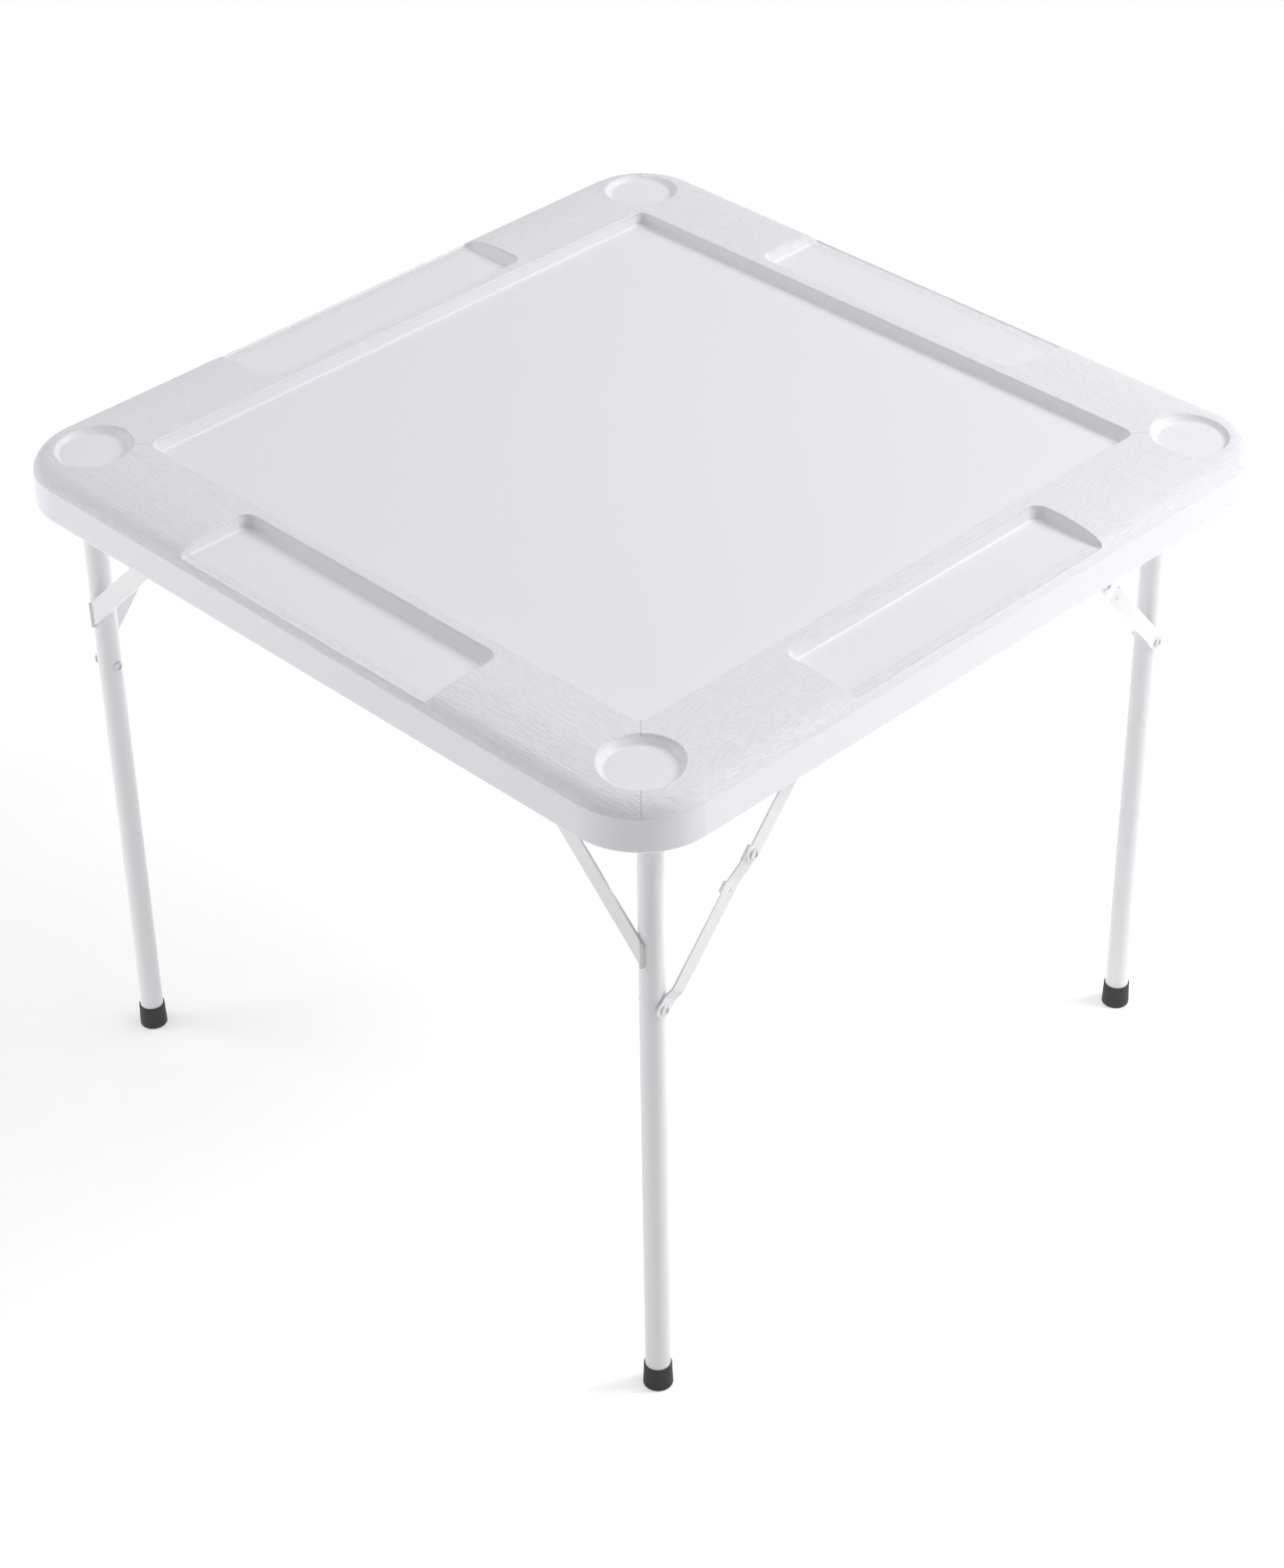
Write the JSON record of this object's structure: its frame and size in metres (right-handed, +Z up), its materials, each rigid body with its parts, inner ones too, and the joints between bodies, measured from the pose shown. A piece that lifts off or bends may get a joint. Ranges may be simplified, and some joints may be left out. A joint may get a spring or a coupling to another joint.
{
  "type": "folding card table",
  "caption": "Square folding card table with a sunken playing field, corner cup holders, side chip trays and folding tube legs.",
  "frame": {"origin": "centre of the footprint on the floor", "axes": "+Z up, +X from the left corner of the top to its front corner, +Y from the front corner to its right corner"},
  "size_m": [0.8898, 0.8898, 0.74],
  "materials": {
    "white_plastic": "moulded, fine embossed grain on the border",
    "white_paint": "white powder coat",
    "black_rubber": "moulded black rubber",
    "zinc": "bright zinc plate"
  },
  "bodies": {
    "tabletop": {"tabletop": "white_plastic", "bracket_screws": "zinc", "left_axle_bracket": "zinc", "left_brace_bracket": "zinc", "left_brace_bracket_rivet": "zinc", "front_axle_bracket": "zinc", "front_brace_bracket": "zinc", "front_brace_bracket_rivet": "zinc", "right_axle_bracket": "zinc", "right_brace_bracket": "zinc", "right_brace_bracket_rivet": "zinc", "back_axle_bracket": "zinc", "back_brace_bracket": "zinc", "back_brace_bracket_rivet": "zinc"},
    "wide_frame": {"wide_frame_cross_tube": "white_paint", "left_leg": "white_paint", "left_foot_cap": "black_rubber", "left_gusset": "white_paint", "left_leg_rivet": "zinc", "front_leg": "white_paint", "front_foot_cap": "black_rubber", "front_gusset": "white_paint", "front_leg_rivet": "zinc"},
    "narrow_frame": {"narrow_frame_cross_tube": "white_paint", "right_leg": "white_paint", "right_foot_cap": "black_rubber", "right_gusset": "white_paint", "right_leg_rivet": "zinc", "back_leg": "white_paint", "back_foot_cap": "black_rubber", "back_gusset": "white_paint", "back_leg_rivet": "zinc"},
    "left_upper_brace": {"left_upper_brace": "white_paint"},
    "left_lower_brace": {"left_lower_brace": "white_paint", "left_knee_rivet": "zinc", "left_leg_rivet_head": "zinc"},
    "front_upper_brace": {"front_upper_brace": "white_paint"},
    "front_lower_brace": {"front_lower_brace": "white_paint", "front_knee_rivet": "zinc", "front_leg_rivet_head": "zinc"},
    "right_upper_brace": {"right_upper_brace": "white_paint"},
    "right_lower_brace": {"right_lower_brace": "white_paint", "right_knee_rivet": "zinc", "right_leg_rivet_head": "zinc"},
    "back_upper_brace": {"back_upper_brace": "white_paint"},
    "back_lower_brace": {"back_lower_brace": "white_paint", "back_knee_rivet": "zinc", "back_leg_rivet_head": "zinc"}
  },
  "joints": [
    {"name": "wide_frame_fold", "type": "hinge", "parent": "tabletop", "child": "wide_frame", "pos_m": [0, -0.381, 0.7], "axis": [1, 0, 0], "range_deg": [0, 90]},
    {"name": "narrow_frame_fold", "type": "hinge", "parent": "tabletop", "child": "narrow_frame", "pos_m": [0, 0.381, 0.704], "axis": [-1, 0, 0], "range_deg": [0, 90]},
    {"name": "left_upper_brace_swing", "type": "hinge", "parent": "tabletop", "child": "left_upper_brace", "pos_m": [-0.4131, -0.192, 0.7], "axis": [1, 0, 0], "range_deg": [-49.47, 0]},
    {"name": "left_lower_brace_swing", "type": "hinge", "parent": "left_upper_brace", "child": "left_lower_brace", "pos_m": [-0.4131, -0.2761, 0.60166], "axis": [1, 0, 0], "range_deg": [0, 180]},
    {"name": "front_upper_brace_swing", "type": "hinge", "parent": "tabletop", "child": "front_upper_brace", "pos_m": [0.4131, -0.192, 0.7], "axis": [1, 0, 0], "range_deg": [-49.47, 0]},
    {"name": "front_lower_brace_swing", "type": "hinge", "parent": "front_upper_brace", "child": "front_lower_brace", "pos_m": [0.4131, -0.2761, 0.60166], "axis": [1, 0, 0], "range_deg": [0, 180]},
    {"name": "right_upper_brace_swing", "type": "hinge", "parent": "tabletop", "child": "right_upper_brace", "pos_m": [0.3666, 0.192, 0.704], "axis": [-1, 0, 0], "range_deg": [-49.47, 0]},
    {"name": "right_lower_brace_swing", "type": "hinge", "parent": "right_upper_brace", "child": "right_lower_brace", "pos_m": [0.3666, 0.2761, 0.60566], "axis": [-1, 0, 0], "range_deg": [0, 180]},
    {"name": "back_upper_brace_swing", "type": "hinge", "parent": "tabletop", "child": "back_upper_brace", "pos_m": [-0.3666, 0.192, 0.704], "axis": [-1, 0, 0], "range_deg": [-49.47, 0]},
    {"name": "back_lower_brace_swing", "type": "hinge", "parent": "back_upper_brace", "child": "back_lower_brace", "pos_m": [-0.3666, 0.2761, 0.60566], "axis": [-1, 0, 0], "range_deg": [0, 180]}
  ],
  "couplings": [
    {"joint": "left_upper_brace_swing", "follows": "wide_frame_fold", "ratio": -0.54959},
    {"joint": "left_lower_brace_swing", "follows": "wide_frame_fold", "ratio": 2},
    {"joint": "front_upper_brace_swing", "follows": "wide_frame_fold", "ratio": -0.54959},
    {"joint": "front_lower_brace_swing", "follows": "wide_frame_fold", "ratio": 2},
    {"joint": "right_upper_brace_swing", "follows": "narrow_frame_fold", "ratio": -0.54959},
    {"joint": "right_lower_brace_swing", "follows": "narrow_frame_fold", "ratio": 2},
    {"joint": "back_upper_brace_swing", "follows": "narrow_frame_fold", "ratio": -0.54959},
    {"joint": "back_lower_brace_swing", "follows": "narrow_frame_fold", "ratio": 2}
  ]
}
